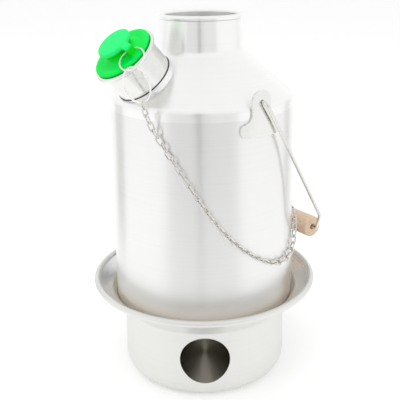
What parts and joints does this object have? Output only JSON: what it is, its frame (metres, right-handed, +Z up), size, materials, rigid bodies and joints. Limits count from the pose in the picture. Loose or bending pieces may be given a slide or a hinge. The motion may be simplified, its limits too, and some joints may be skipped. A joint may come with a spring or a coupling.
{
  "type": "storm kettle",
  "caption": "Chimney kettle of stainless sheet on a pressed fire base, with a wire bail and wooden grip, a slanted spout, and a green plug held by rings and a chain.",
  "frame": {"origin": "middle of the fire base's foot, on the ground", "axes": "+Z up, the fire hole faces -Y, and the kettle stands turned so that its spout points between -X and -Y"},
  "size_m": [0.1931, 0.1883, 0.2966],
  "materials": {
    "sheet": "satin stainless sheet",
    "bright": "bright stainless wire and plate",
    "beech": "turned bare beech",
    "silicone": "matte moulded silicone"
  },
  "bodies": {
    "fire_base": {"fire_base": "sheet"},
    "kettle": {"outer_wall": "sheet", "shoulder": "sheet", "fire_tube": "sheet", "bottom_ring": "sheet", "spout": "sheet", "ear_front": "bright", "ear_rear": "bright", "chain_lug": "bright", "chain_links": "bright"},
    "bail": {"bail": "bright"},
    "grip": {"grip": "beech"},
    "plug": {"plug": "silicone", "whistle_cup": "bright", "whistle_disc": "bright"},
    "small_ring": {"small_ring": "bright"},
    "large_ring": {"large_ring": "bright"}
  },
  "joints": [
    {"name": "kettle_lift", "type": "slide", "parent": "fire_base", "child": "kettle", "axis": [0, 0, 1], "range_m": [0, 0.15]},
    {"name": "bail_swing", "type": "hinge", "parent": "kettle", "child": "bail", "pos_m": [0, 0, 0.23844], "axis": [0.5878, -0.809, 0], "range_deg": [0, 290]},
    {"name": "grip_spin", "type": "hinge", "parent": "bail", "child": "grip", "pos_m": [0.06747, 0.04902, 0.11316], "axis": [-0.5878, 0.809, 0], "continuous": true},
    {"name": "plug_pull", "type": "slide", "parent": "kettle", "child": "plug", "axis": [-0.5301, -0.3851, 0.7554], "range_m": [0, 0.03], "deforming": ["chain_links"]},
    {"name": "small_ring_tilt", "type": "hinge", "parent": "plug", "child": "small_ring", "pos_m": [-0.05145, -0.05385, 0.27542], "axis": [-0.8562, -0.0316, -0.5156], "range_deg": [0, 25], "deforming": ["chain_links"]},
    {"name": "large_ring_swing", "type": "hinge", "parent": "small_ring", "child": "large_ring", "pos_m": [-0.04747, -0.06897, 0.2646], "axis": [-0.9146, 0.1897, -0.3572], "range_deg": [0, 25], "deforming": ["chain_links"]}
  ]
}
